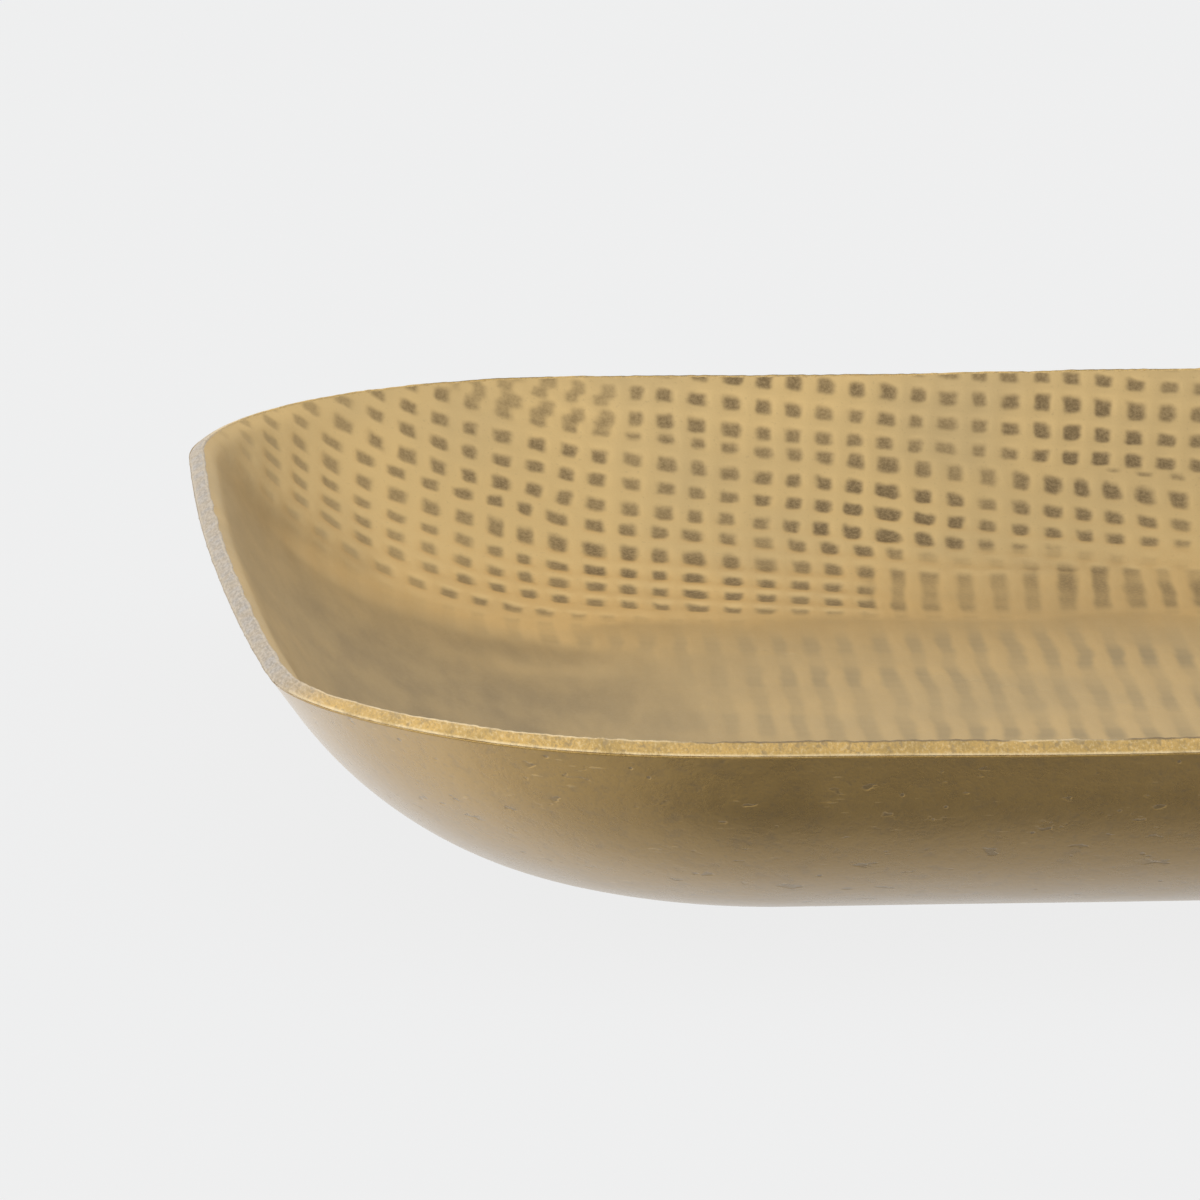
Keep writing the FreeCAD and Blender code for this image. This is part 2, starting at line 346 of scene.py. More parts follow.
def unevenly(values, seed, amount=0.10):
    """Shift evenly numbered strands so that their spacing varies from one to the next."""
    number = np.arange(-MOST_STRANDS, MOST_STRANDS + 1)
    shift = np.random.default_rng(seed).uniform(-amount, amount, len(number))
    return values + np.interp(values, number, shift)


class Net:
    """A piece of net laid over the left corner and along the far wall.

    Its rows crest on a line that crosses the corner, hook down to the left of it and fall away
    to the right, steadily over FALL_REACH and then less and less. Lengths are in millimetres
    on the cloth, and down is measured from REFERENCE.
    """

    REFERENCE = 130.0
    FALL_REACH = 95
    FALL_FADE = 60

    def __init__(self, row_pitch, column_pitch, top, left, crest, fall, hook, lean):
        self.row_pitch, self.column_pitch = row_pitch, column_pitch
        self.top, self.left, self.crest = top, left, crest
        self.fall, self.hook, self.lean = fall, hook, lean

    def at(self, X, Y):
        """Column and row numbers; a whole number is the middle of a strand."""
        down = self.REFERENCE - Y
        past = X - self.crest[0] + self.crest[1] * down
        right, left = np.clip(past, 0, None), np.clip(-past, 0, None)
        beyond = np.clip(right - self.FALL_REACH, 0, None)
        right = np.minimum(right, self.FALL_REACH)
        right = right + self.FALL_FADE * (1 - np.exp(-beyond / self.FALL_FADE))
        fall = (self.fall[0] + self.fall[1] * down) * right
        rows = self.top + down - fall - self.hook * left**2
        columns = X - self.left + self.lean * down
        return columns / self.column_pitch + 0.5, rows / self.row_pitch + 0.5


class StraightNet:
    """A piece of net laid flat, its columns and rows each turned by a small slope."""

    def __init__(self, row_pitch, column_pitch, row_slope, column_slope):
        self.row_pitch, self.column_pitch = row_pitch, column_pitch
        self.row_slope, self.column_slope = row_slope, column_slope

    def at(self, X, Y):
        """Column and row numbers, as for Net."""
        columns = (X + self.column_slope * Y) / self.column_pitch
        return columns, (Y + self.row_slope * X) / self.row_pitch


WALL_NET = Net(5.57, 5.45, 14.9, -221.0, (-182, 0.9), (0.156, 0.0012), 0.0097, 0.078)
UPPER_NET = Net(4.57, 5.283, 23.9, -218.7, (-174, 0.5), (0.173, 0.0018), 0.0067, 0.104)
RIM_NET = Net(4.66, 5.128, 44.2, -215.7, (-158, 0.0), (0.098, 0.0004), 0.004, 0.09)
FLOOR_NET = Net(8.24, 5.236, -14.6, -216.8, (-182, 0.9), (0.19, 0.0), 0.012, 0.058)
NEAR_NET = StraightNet(5.25, 5.3, 0.05, -0.06)
RIGHT_NET = StraightNet(5.3, 5.15, -0.05, 0.05)
FLOOR_ROW_PITCH = 5.2
FAR_LIMIT, NEAR_LIMIT, RIGHT_LIMIT = 104.0, -112.0, 160.0
NET_DRIFT = 0.25
OVERLAP_FADE = 0.25


def net_sheets(x, y):
    """The net was laid in overlapping pieces: strand numbers and the extent of each one.

    The third value is 1 on the piece and 0 away from it.
    """
    X, Y = cloth_position(x, y)
    X = X + NET_DRIFT * NET_SHIFT.at(X, Y)
    Y = Y + NET_DRIFT * NET_SHIFT.at(Y + 300, X)
    far = smooth(FAR_LIMIT - 8, FAR_LIMIT, Y)
    left = 1 - smooth(RIGHT_LIMIT - 1, RIGHT_LIMIT + 1, X)

    columns, rows = WALL_NET.at(X, Y)
    wall = band(rows, (-0.15, 0), (5, 5.15)) * far * left
    beyond_wall = smooth(4.95, 5.1, rows)
    near_columns, near_rows = NEAR_NET.at(X, Y)
    near = 1 - smooth(NEAR_LIMIT - 1, NEAR_LIMIT + 1, Y)
    is_near = Y < 0
    lower = (
        np.where(is_near, near_columns, columns),
        np.where(is_near, near_rows, rows),
        np.where(is_near, near * left, wall),
    )

    rim_columns, rim_rows = RIM_NET.at(X, Y)
    strip = (1 - smooth(3, 3.15, rim_rows)) * smooth(-178, -175, X) * far * left
    columns, rows = UPPER_NET.at(X, Y)
    hidden = (1 - smooth(2.9, 3.05, rim_rows)) * smooth(-152, -146, X)
    piece = band(rows, (-3.2, -3), (2, 2.15)) * far * left * (1 - hidden)
    strip, piece = strip * (1 - OVERLAP_FADE * piece), piece * (1 - OVERLAP_FADE * strip)
    upper = (columns, rows, piece)

    right_columns, right_rows = RIGHT_NET.at(X, Y)
    is_right = X > RIGHT_LIMIT - 5
    rim = (
        np.where(is_right, right_columns, rim_columns),
        np.where(is_right, right_rows, rim_rows),
        np.where(is_right, 1 - left, strip),
    )

    columns, rows = FLOOR_NET.at(X, np.maximum(Y, FAR_LIMIT))
    nearer = np.clip(FAR_LIMIT - Y, 0, None)
    columns = columns + FLOOR_NET.lean * nearer / FLOOR_NET.column_pitch
    rows = rows + nearer / FLOOR_ROW_PITCH
    covered = np.maximum(1 - far, beyond_wall)
    base = (columns, rows, covered * (1 - near) * left)

    sheets = []
    for number, (columns, rows, piece) in enumerate((base, lower, upper, rim)):
        columns = unevenly(columns, SEED + 10 + number)
        rows = unevenly(rows, SEED + 20 + number)
        sheets.append((columns, rows, piece))
    return sheets, X, Y


STRAND_SIDE = (0.10, 0.34)


def strand_height(columns, rows, row_strength):
    """Height of the crossing strands, from 0 between them to about 1 on top.

    A strand's side slopes down over STRAND_SIDE, in pitches from its middle.
    """
    across = np.abs((columns + 0.5) % 1 - 0.5)
    along = np.abs((rows + 0.5) % 1 - 0.5)
    weave = np.cos(math.pi * columns) * np.cos(math.pi * rows)
    column = (1 - smooth(*STRAND_SIDE, across)) * (0.95 + 0.05 * weave)
    row = (1 - smooth(*STRAND_SIDE, along)) * (0.90 - 0.05 * weave) * row_strength
    return 1 - (1 - column) * (1 - row)


def print_strength(X, Y, on_floor):
    """How clearly the net and its rows show, and how dull the metal is, on the cloth.

    The print is crisp on the far wall, faint at its foot and on the floor, and almost gone in
    the brown stain at the left end. X and Y are in millimetres.
    """
    X = X + 5 * EDGE_WANDER.at(X, Y)
    across = Y + 10 * EDGE_WANDER.at(Y, X - 300)
    low = band(across, (-110, -30), (60, 118))
    end = 1 - smooth(-236 + 57 * low, -182 + 54 * low, X)
    patches = smooth(-0.9, 0.6, FLOOR_PATCHES.at(0.4 * X, Y))
    foot = band(Y, (82, 98), (106, 111))
    strength = np.clip(0.92 + 0.14 * DEPTH_NOISE.at(X, Y), 0.6, 1.15)
    strength *= (0.72 + 0.28 * smooth(-195, -110, X)) * (1 - (0.55 + 0.42 * low) * end)
    strength *= (1 - 0.12 * smooth(-60, 40, X)) * (1 - (0.56 - 0.24 * patches) * on_floor)
    strength *= 1 - 0.55 * foot

    darkest = (1 - smooth(30, 85, across)) * low * smooth(-228, -196, X)
    dullness = (0.85 + 0.1 * low + 0.22 * darkest) * end
    dullness += np.maximum(0.47 * on_floor, 0.2 * smooth(-150, -70, X)) * (1 - end)

    # Low on the far wall the net hung slack, and only its columns left a mark.
    on_end_wall = (1 - smooth(99, 111, np.abs(Y))) * (1 - smooth(150, 162, X))
    slack = band(X, (-116, -100), (-45, -20))
    hanging = slack * band(Y, (104, 107), (125, 129))
    row_strength = 1 - 0.94 * np.maximum(on_floor, on_end_wall)
    row_strength *= (1 - 0.9 * end * low) * (1 - 0.9 * hanging)
    strength *= 1 - 0.2 * hanging - 0.6 * slack * band(Y, (127, 130), (135, 137))

    # The print is faint where the upper piece of net meets the lower one.
    up = Y - 121 + 4 * smooth(0, 40, X)
    strength *= 1 - 0.45 * smooth(-75, -55, X) * band(up, (0, 4), (9, 13))
    return strength, row_strength, dullness


FLOOR_RING = 0.4 * MM
UNDER_RIM = 0.4 * MM
SWELL_HEIGHT = 0.06 * MM


def sweep_dish(section, top, spacing):
    """One face of the dish from a length up its wall down to the middle of its floor.

    Returns positions, outward plan normals, lengths up the wall, slopes and faces.
    """
    along = np.linspace(top, 0, int(section.length / spacing))
    floor_steps = int((FLOOR_Y - FLOOR_RING) / spacing)
    along = np.concatenate([along, -np.linspace(0, FLOOR_Y - FLOOR_RING, floor_steps)[1:]])
    run, height, slope = section.at(along)
    stations = list(zip(WALL_RUN - run, height))
    points, normals, index, faces, last = sweep_section(stations, spacing)
    return points, normals, along[index], slope[index], faces + close_floor(*last)


def tray_inside(spacing):
    """The inside of the dish with the raised strands of the net."""
    points, normals, along, tilt, faces = sweep_dish(INSIDE, INSIDE.length - UNDER_RIM, spacing)
    facing = np.column_stack([-normals * np.sin(tilt)[:, None], np.cos(tilt)])
    from_lip = INSIDE.length - along

    sheets, X, Y = net_sheets(points[:, 0], points[:, 1])
    wander = 2.5 * MM * EDGE_WANDER.at(X + 500, Y)
    on_floor = 1 - smooth(-5 * MM, 5 * MM, along + wander)
    strength, row_strength, dullness = print_strength(X, Y, on_floor)
    dullness *= 0.4 + 0.6 * smooth(1.0 * MM, 4.5 * MM, from_lip)
    relief = np.ones(len(points))
    for columns, rows, piece in sheets:
        relief *= 1 - piece * (1 - np.minimum(strand_height(columns, rows, row_strength), 1))
    relief = (relief - 0.5) * strength * smooth(0.7 * MM, 2.6 * MM, from_lip)
    points = points + facing * (relief * STRAND_DEPTH)[:, None]
    points = burr(points, normals, 1 - smooth(0, BURR_REACH, from_lip))
    attributes = {
        f"net_{number}": np.column_stack(sheet) for number, sheet in enumerate(sheets)
    }
    attributes["net_levels"] = np.column_stack([strength, row_strength, dullness])
    return build_mesh("tray_inside", settle(points), faces, attributes)


def tray_outside(spacing):
    """The smooth outside of the dish and its flat base."""
    points, normals, along, tilt, faces = sweep_dish(OUTSIDE, OUTSIDE.length, spacing)
    facing = np.column_stack([normals * np.sin(tilt)[:, None], -np.cos(tilt)])
    swell = smooth(0, 25 * MM, along) * smooth(1.5 * MM, 6 * MM, OUTSIDE.length - along)
    swell *= WALL_SWELL.at(points[:, 0], points[:, 1])
    points = points + facing * (SWELL_HEIGHT * swell)[:, None]
    return build_mesh("tray_outside", settle(points), [f[::-1] for f in faces])


FACE_ROWS = 11
FACE_CROWN = 0.10
OUTER_ROUNDING = 0.16
INNER_ROUNDING = 0.05
MOST_WEAR = 0.02
FACE_ROUGHNESS = 0.02 * MM


def tray_rim(spacing):
    """The ground edge: a tilted face with a ragged inner burr and a softer outer corner.

    A short skirt on each side covers the edge of the inside or the outside skin, and then
    tucks under it. The place of a station is 0 to 1 across the face and, in millimetres,
    below 0 down the outer skirt and above 1 down the inner one.
    """
    face = np.linspace(0, 1, FACE_ROWS)
    outer_skirt = np.array([0.8, 0.5, 0.3, 0.12]) * MM
    inner_skirt = np.array([0.12, 0.3, 0.5, 0.8]) * MM
    stations, place = [], []
    for drop in outer_skirt:
        tuck = np.interp(drop, [0.3 * MM, 0.5 * MM, 0.8 * MM], [-0.03 * MM, -0.02 * MM, 0.15 * MM])
        inset = drop * math.cos(FLARE) + tuck
        stations.append((inset, BASE_Z + RIM_HEIGHT - drop * math.sin(FLARE)))
        place.append(-drop / MM)
    for share in face:
        rounding = OUTER_ROUNDING * (1 - share) ** 8 + INNER_ROUNDING * share**12
        lift = (FACE_CROWN * math.sin(math.pi * share) - rounding) * MM
        inset = share * RIM_RUN - lift * math.sin(RIM_TILT)
        rise = share * RIM_RISE + lift * math.cos(RIM_TILT)
        stations.append((inset, BASE_Z + RIM_HEIGHT + rise))
        place.append(share)
    for drop in inner_skirt:
        proud = np.interp(drop, [0, 0.3 * MM, 0.8 * MM], [0.03 * MM, 0.05 * MM, -0.15 * MM])
        inset = RIM_RUN + drop * math.cos(FLARE) + proud
        stations.append((inset, BASE_Z + RIM_HEIGHT + RIM_RISE - drop * math.sin(FLARE)))
        place.append(1 + drop / MM)
    points, normals, index, faces, _ = sweep_section(stations, spacing)
    place = np.array(place)[index]
    x, y = points.T[:2]
    outer_edge = smooth(-1, 0, place) * (1 - smooth(0.0, 0.4, place))
    wear = 0.06 * BURR_COARSE.at(x + 0.1, y) + 0.04 * BURR_FINE.at(x + 0.1, y)
    wear = np.minimum(wear, MOST_WEAR)
    points[:, :2] -= normals * (wear * outer_edge * MM)[:, None]
    middle = band(place, (0.05, 0.25), (0.75, 0.95))
    points[:, 2] += FACE_ROUGHNESS * Ripple(SEED + 7, 1.3 * MM, 21).at(x, y) * middle
    near = smooth(0.55, 1.0, place) * (1 - smooth(0, BURR_REACH, (place - 1) * MM))
    points = burr(points, normals, near)
    return build_mesh("tray_rim", settle(points), faces, {"across": place})


def felt_pad(node, name):
    """A round felt pad: a disc with rounded, slightly uneven edges."""
    low, high = (Vector(corner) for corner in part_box(node))
    centre = (low + high) / 2
    radius, thickness = (high.x - low.x) / 2, high.z - low.z
    rows = [(0.5, 1.0), (0.85, 1.0), (0.95, 0.99), (0.985, 0.93), (1.0, 0.8)]
    rows += [(1.0, 0.5), (1.0, 0.2), (0.985, 0.07), (0.95, 0.01), (0.85, 0.0), (0.5, 0.0)]
    segments = 96
    angle = np.arange(segments) * 2 * math.pi / segments
    fuzz = Ripple(SEED + 8, 2.2 * MM, 15)
    points = []
    for share, level in rows:
        x = centre.x + radius * share * np.cos(angle)
        y = centre.y + radius * share * np.sin(angle)
        edge = 0.985 + 0.015 * np.clip(fuzz.at(x, y), -1, 1) * (share > 0.9)
        x, y = centre.x + (x - centre.x) * edge, centre.y + (y - centre.y) * edge
        points.append(np.column_stack([x, y, np.full(segments, low.z + thickness * level)]))
    last = (len(rows) - 1) * segments
    faces = [tuple(range(segments)), tuple(range(last, last + segments))[::-1]]
    for above in range(0, last, segments):
        below = above + segments
        for i in range(segments):
            j = (i + 1) % segments
            faces.append((above + i, below + i, below + j, above + j))
    return build_mesh(name, np.vstack(points), faces)


# --------------------------------------------------------------------------------------
# Materials
# --------------------------------------------------------------------------------------

class Shader:
    """A material and short calls that add nodes to its tree."""

    def __init__(self, name):
        self.material = bpy.data.materials.new(name)
        self.material.use_nodes = True
        self.tree = self.material.node_tree
        self.tree.nodes.clear()
        self.place = self.node("TexCoord", {}).outputs["Object"]

    def node(self, kind, inputs, **settings):
        made = self.tree.nodes.new("ShaderNode" + kind)
        for key, value in settings.items():
            setattr(made, key, value)
        for key, value in inputs.items():
            if isinstance(value, bpy.types.NodeSocket):
                self.tree.links.new(value, made.inputs[key])
            else:
                made.inputs[key].default_value = value
        return made

    def math(self, operation, *values):
        return self.node("Math", dict(enumerate(values)), operation=operation).outputs[0]

    def product(self, *values):
        total = values[0]
        for value in values[1:]:
            total = self.math("MULTIPLY", total, value)
        return total

    def fit(self, value, low, high, to_low=0.0, to_high=1.0):
        """Map low..high to to_low..to_high along a smooth step."""
        inputs = {"Value": value, "From Min": low, "From Max": high}
        inputs.update({"To Min": to_low, "To Max": to_high})
        return self.node("MapRange", inputs, interpolation_type="SMOOTHSTEP").outputs["Result"]

    def ridge(self, value, rise, fall):
        """1 between a rise and a fall, each the two ends of a smooth step, and 0 beyond them."""
        return self.product(self.fit(value, *rise), self.fit(value, *fall, 1.0, 0.0))

    def blend(self, share, low, high):
        inputs = {0: share, 6: low, 7: high}
        return self.node("Mix", inputs, data_type="RGBA").outputs[2]

    def noise(self, size, detail=3.0, roughness=0.55, stretch=(1, 1, 1)):
        """Fractal noise, about 0.5 on average, with features of a size in metres."""
        place = self.place
        if stretch != (1, 1, 1):
            place = self.node("Mapping", {"Vector": place, "Scale": stretch}).outputs[0]
        inputs = {"Vector": place, "Scale": 1 / size, "Detail": detail, "Roughness": roughness}
        return self.node("TexNoise", inputs).outputs["Fac"]

    def cells(self, size, randomness=1.0):
        """Distance to the nearest of scattered points, in units of their spacing."""
        inputs = {"Vector": self.place, "Scale": 1 / size, "Randomness": randomness}
        return self.node("TexVoronoi", inputs).outputs["Distance"]

    def attribute(self, name):
        return self.node("Attribute", {}, attribute_name=name)

    def bump(self, height, distance, strength=1.0, normal=None):
        inputs = {"Height": height, "Distance": distance, "Strength": strength}
        if normal is not None:
            inputs["Normal"] = normal
        return self.node("Bump", inputs).outputs["Normal"]

    def finish(self, inputs):
        surface = self.node("BsdfPrincipled", inputs)
        output = self.node("OutputMaterial", {"Surface": surface.outputs[0]})
        output.is_active_output = True
        return self.material


STRAND_BRASS = (0.695, 0.498, 0.228, 1)
STRAND_DULL = (0.62, 0.455, 0.222, 1)
# Brown of the patina in hollows, pits, dents and specks, and of the painted shadow along the rim's
# inner edge.
CAVITY_BROWN_AND_SHADOW = (0.22, 0.155, 0.078, 1)
CAVITY_LIGHT = (0.37, 0.27, 0.14, 1)
OUTSIDE_BROWN = (0.30, 0.178, 0.045, 1)
OUTSIDE_BRASS = (0.45, 0.29, 0.085, 1)
TARNISH = (0.248, 0.182, 0.098, 1)
FLOOR_GREY = (0.36, 0.285, 0.17, 1)
GROUND_BRASS = (0.66, 0.44, 0.155, 1)
GROUND_DULL = (0.50, 0.34, 0.125, 1)
GROUND_GREY = (0.50, 0.45, 0.395, 1)
GROUND_SHADE = (0.36, 0.315, 0.26, 1)
# Colour of the real polish strokes on the filed rim, and of the painted highlights along its edges.
POLISH_AND_HIGHLIGHT = (0.86, 0.70, 0.43, 1)
WHITE_FLECK = (0.62, 0.56, 0.44, 1)
GRAZING_TINT = (1.0, 0.94, 0.82, 1)
FELT_DARK = (0.10, 0.072, 0.05, 1)
FELT_BROWN = (0.19, 0.145, 0.105, 1)
FELT_FIBRE = (0.28, 0.23, 0.18, 1)
PAPER_COOL = (0.835, 0.84, 0.845, 1)
PAPER = (0.85, 0.85, 0.85, 1)


PRINT_SIDE = (0.06, 0.39)


def net_pattern(shader):
    """How much of a strand there is at each point, from the strand numbers on the vertices."""
    levels = shader.node("SeparateXYZ", {0: shader.attribute("net_levels").outputs["Vector"]})
    strength, row_strength, dullness = levels.outputs
    wander = shader.math("MULTIPLY_ADD", shader.noise(2.6 * MM, 1, 0.5, (1, 0.25, 1)), 0.24, -0.12)
    waver = shader.math("MULTIPLY_ADD", shader.noise(3.1 * MM, 1, 0.5, (1, 0.6, 1)), 0.24, -0.12)
    pattern = None
    for number in range(4):
        sheet = shader.attribute(f"net_{number}").outputs["Vector"]
        columns, rows, piece = shader.node("SeparateXYZ", {0: sheet}).outputs
        strands = []
        for count, shift in ((columns, wander), (rows, waver)):
            moved = shader.math("ADD", shader.math("ADD", count, shift), 0.5)
            off = shader.math("ABSOLUTE", shader.math("SUBTRACT", shader.math("FRACT", moved), 0.5))
            strands.append(shader.fit(off, *PRINT_SIDE, 1.0, 0.0))
        column, row = strands
        beside_column = shader.math("SUBTRACT", 1.0, column)
        beside_row = shader.math("SUBTRACT", 1.0, shader.product(row, row_strength))
        solid = shader.math("SUBTRACT", 1.0, shader.product(beside_column, beside_row, piece))
        pattern = solid if pattern is None else shader.product(pattern, solid)
    return pattern, strength, dullness


def inside_material():
    """Bright strands with brown hollows between them, dulled by tarnish at the left end."""
    shader = Shader("brass_net_print")
    pattern, strength, dullness = net_pattern(shader)
    slow = shader.noise(38 * MM, 3)
    patchy = shader.noise(5 * MM, 4, 0.55, (1, 0.2, 1))
    grain = shader.noise(0.55 * MM, 4, 0.65)
    fine = shader.noise(0.16 * MM, 3, 0.6)
    depth = shader.product(shader.fit(slow, 0.3, 0.7, 0.72, 1.0), strength)
    hollow = shader.product(shader.math("SUBTRACT", 1.0, pattern), depth)
    metal = shader.blend(shader.fit(slow, 0.35, 0.65), STRAND_DULL, STRAND_BRASS)
    brown = shader.blend(shader.fit(grain, 0.35, 0.7), CAVITY_BROWN_AND_SHADOW, CAVITY_LIGHT)
    brown = shader.blend(shader.fit(dullness, 0.22, 0.52), brown, FLOOR_GREY)
    colour = shader.blend(shader.fit(hollow, 0.05, 0.95), metal, brown)
    speck = shader.fit(grain, 0.28, 0.42, 0.18, 0.0)
    colour = shader.blend(speck, colour, CAVITY_BROWN_AND_SHADOW)
    tarnish = shader.product(dullness, shader.fit(patchy, 0.25, 0.75, 0.62, 0.82))
    colour = shader.blend(tarnish, colour, TARNISH)
    roughness = shader.math("MULTIPLY_ADD", grain, 0.16, 0.36)
    roughness = shader.math("MULTIPLY_ADD", hollow, 0.12, roughness)
    normal = shader.bump(pattern, 0.05 * MM, shader.math("MULTIPLY", strength, 0.8))
    normal = shader.bump(grain, 0.05 * MM, 0.8, normal)
    normal = shader.bump(fine, 0.012 * MM, 0.7, normal)
    inputs = {"Base Color": colour, "Metallic": 1.0, "Roughness": roughness, "Normal": normal}
    inputs["Specular Tint"] = GRAZING_TINT
    return shader.finish(inputs)


def outside_colour(shader, cloudy):
    """The outside's mix of brown and brass, which the rim's outer skirt shares."""
    slow = shader.noise(70 * MM, 3, 0.5)
    broad = shader.fit(slow, 0.35, 0.68, 0.6, 0.8)
    worn = shader.product(broad, shader.fit(cloudy, 0.3, 0.7, 0.75, 1.0))
    return shader.blend(worn, OUTSIDE_BROWN, OUTSIDE_BRASS)


def outside_material():
    """Brown tarnished brass under a thin lacquer, with casting grain, pits and scratches."""
    shader = Shader("brass_outside")
    cloudy = shader.noise(9 * MM, 4, 0.6)
    lumps = shader.noise(2.6 * MM, 3, 0.6)
    grain = shader.noise(0.6 * MM, 4, 0.65)
    pits = shader.fit(shader.cells(3.4 * MM), 0.06, 0.13, 1.0, 0.0)
    pits = shader.product(pits, shader.fit(shader.noise(11 * MM, 2), 0.52, 0.58))
    chips = shader.fit(shader.cells(6.5 * MM), 0.02, 0.045, 1.0, 0.0)
    chips = shader.product(chips, shader.fit(shader.noise(17 * MM, 1), 0.52, 0.6))
    lines = shader.noise(0.5 * MM, 2, 0.5, (0.12, 0.12, 1))
    scratches = shader.product(shader.fit(lines, 0.66, 0.72), shader.fit(cloudy, 0.5, 0.62))
    dents = shader.fit(shader.noise(1.7 * MM, 2, 0.5, (0.45, 0.45, 1)), 0.63, 0.70)
    dents = shader.product(dents, shader.fit(shader.noise(14 * MM, 2), 0.47, 0.56))
    colour = outside_colour(shader, cloudy)
    colour = shader.blend(shader.product(dents, 0.5), colour, CAVITY_BROWN_AND_SHADOW)
    colour = shader.blend(shader.fit(lumps, 0.25, 0.5, 0.3, 0.0), colour, CAVITY_BROWN_AND_SHADOW)
    colour = shader.blend(shader.fit(grain, 0.25, 0.5, 0.4, 0.0), colour, CAVITY_BROWN_AND_SHADOW)
    colour = shader.blend(shader.product(scratches, 0.35), colour, STRAND_BRASS)
    colour = shader.blend(shader.product(chips, 0.8), colour, WHITE_FLECK)
    colour = shader.blend(shader.product(pits, 0.7), colour, CAVITY_BROWN_AND_SHADOW)
    roughness = shader.math("MULTIPLY_ADD", cloudy, 0.16, 0.20)
    height = shader.math("MULTIPLY_ADD", lumps, 0.6, shader.product(cloudy, 0.8))
    height = shader.math("SUBTRACT", height, shader.product(pits, 0.7))
    height = shader.math("SUBTRACT", height, shader.product(dents, 0.9))
    height = shader.math("ADD", height, shader.product(scratches, 0.2))
    normal = shader.bump(height, 0.13 * MM, 0.8)
    normal = shader.bump(grain, 0.05 * MM, 0.7, normal)
    inputs = {"Base Color": colour, "Metallic": 1.0, "Roughness": roughness, "Normal": normal}
    inputs.update({"Coat Weight": 0.75, "Coat Roughness": 0.28})
    return shader.finish(inputs)


GREY_FROM = (0.206, 0.216)
GREY_TO = (0.100, 0.125)
GAP_FROM = (-0.184, -0.176)


def rim_material():
    """Filed metal: golden, greyer at both ends, with a thin line along its inner edge.

    The thin light-coloured lines along the inner and outer edges are painted highlights, fainter
    at the grey ends. To the right of GAP_FROM the inner line is a painted shadow instead, dark
    where the burr stands off the wall. The metal is grey beyond GREY_FROM along the tray and
    within GREY_TO across it, in metres.
    """
    shader = Shader("brass_ground_edge")
    across = shader.attribute("across").outputs["Fac"]
    x, y, _ = shader.node("SeparateXYZ", {0: shader.place}).outputs
    cloudy = shader.noise(5 * MM, 4, 0.6)
    grain = shader.noise(0.5 * MM, 4, 0.65)
    strokes = shader.noise(0.40 * MM, 3, 0.6, (1, 0.25, 1))
    nicks = shader.noise(1.3 * MM, 3, 0.6, (1, 0.5, 1))
    # Masks for the thin lines along the outer and inner edges of the face: painted highlights, and
    # on the inner edge to the right of GAP_FROM a painted shadow.
    outer = shader.ridge(across, (-0.18, 0.0), (0.06, 0.20))
    inner = shader.ridge(across, (0.82, 0.93), (1.05, 1.22))
    colour = shader.blend(shader.fit(cloudy, 0.3, 0.65), GROUND_DULL, GROUND_BRASS)
    colour = shader.blend(shader.fit(strokes, 0.52, 0.66, 0.0, 0.35), colour, POLISH_AND_HIGHLIGHT)
    colour = shader.blend(shader.fit(strokes, 0.34, 0.48, 0.5, 0.0), colour, CAVITY_LIGHT)
    colour = shader.blend(shader.fit(nicks, 0.34, 0.46, 0.7, 0.0), colour, CAVITY_LIGHT)
    colour = shader.blend(shader.fit(grain, 0.28, 0.46, 0.4, 0.0), colour, CAVITY_LIGHT)
    end = shader.fit(shader.math("ABSOLUTE", x), *GREY_FROM)
    end = shader.product(end, shader.fit(shader.math("ABSOLUTE", y), *GREY_TO, 1.0, 0.0))
    grey = shader.product(end, shader.fit(cloudy, 0.3, 0.7, 0.6, 1.0))
    grey_metal = shader.blend(shader.fit(strokes, 0.38, 0.6), GROUND_SHADE, GROUND_GREY)
    colour = shader.blend(grey, colour, grey_metal)
    # Painted shadow: to the right of GAP_FROM, in patches, the inner edge line is dark brown where
    # the burr stands off the wall.
    gap_shadow = shader.fit(shader.noise(24 * MM, 2), 0.36, 0.46)
    gap_shadow = shader.product(shader.fit(x, *GAP_FROM), gap_shadow)
    # Painted highlights along both edges of the rim, patchy and fainter at the grey ends.
    edge_highlight = shader.math("MAXIMUM", outer, shader.product(inner, shader.math("SUBTRACT", 1.0, gap_shadow)))
    edge_highlight = shader.product(edge_highlight, shader.math("MULTIPLY_ADD", end, -0.7, 1.0))
    edge_highlight = shader.product(edge_highlight, shader.fit(cloudy, 0.3, 0.6, 0.15, 0.8))
    colour = shader.blend(edge_highlight, colour, POLISH_AND_HIGHLIGHT)
    colour = shader.blend(shader.product(inner, gap_shadow, 0.85), colour, CAVITY_BROWN_AND_SHADOW)
    under = shader.fit(across, -0.35, -0.1, 1.0, 0.0)
    colour = shader.blend(under, colour, outside_colour(shader, shader.noise(9 * MM, 4, 0.6)))
    colour = shader.blend(shader.fit(across, 1.15, 1.5), colour, STRAND_DULL)
    roughness = shader.math("MULTIPLY_ADD", cloudy, 0.2, 0.32)
    normal = shader.bump(strokes, 0.08 * MM, 0.8)
    normal = shader.bump(nicks, 0.35 * MM, 0.8, normal)
    normal = shader.bump(grain, 0.06 * MM, 0.8, normal)
    inputs = {"Base Color": colour, "Metallic": 1.0, "Roughness": roughness, "Normal": normal}
    return shader.finish(inputs)


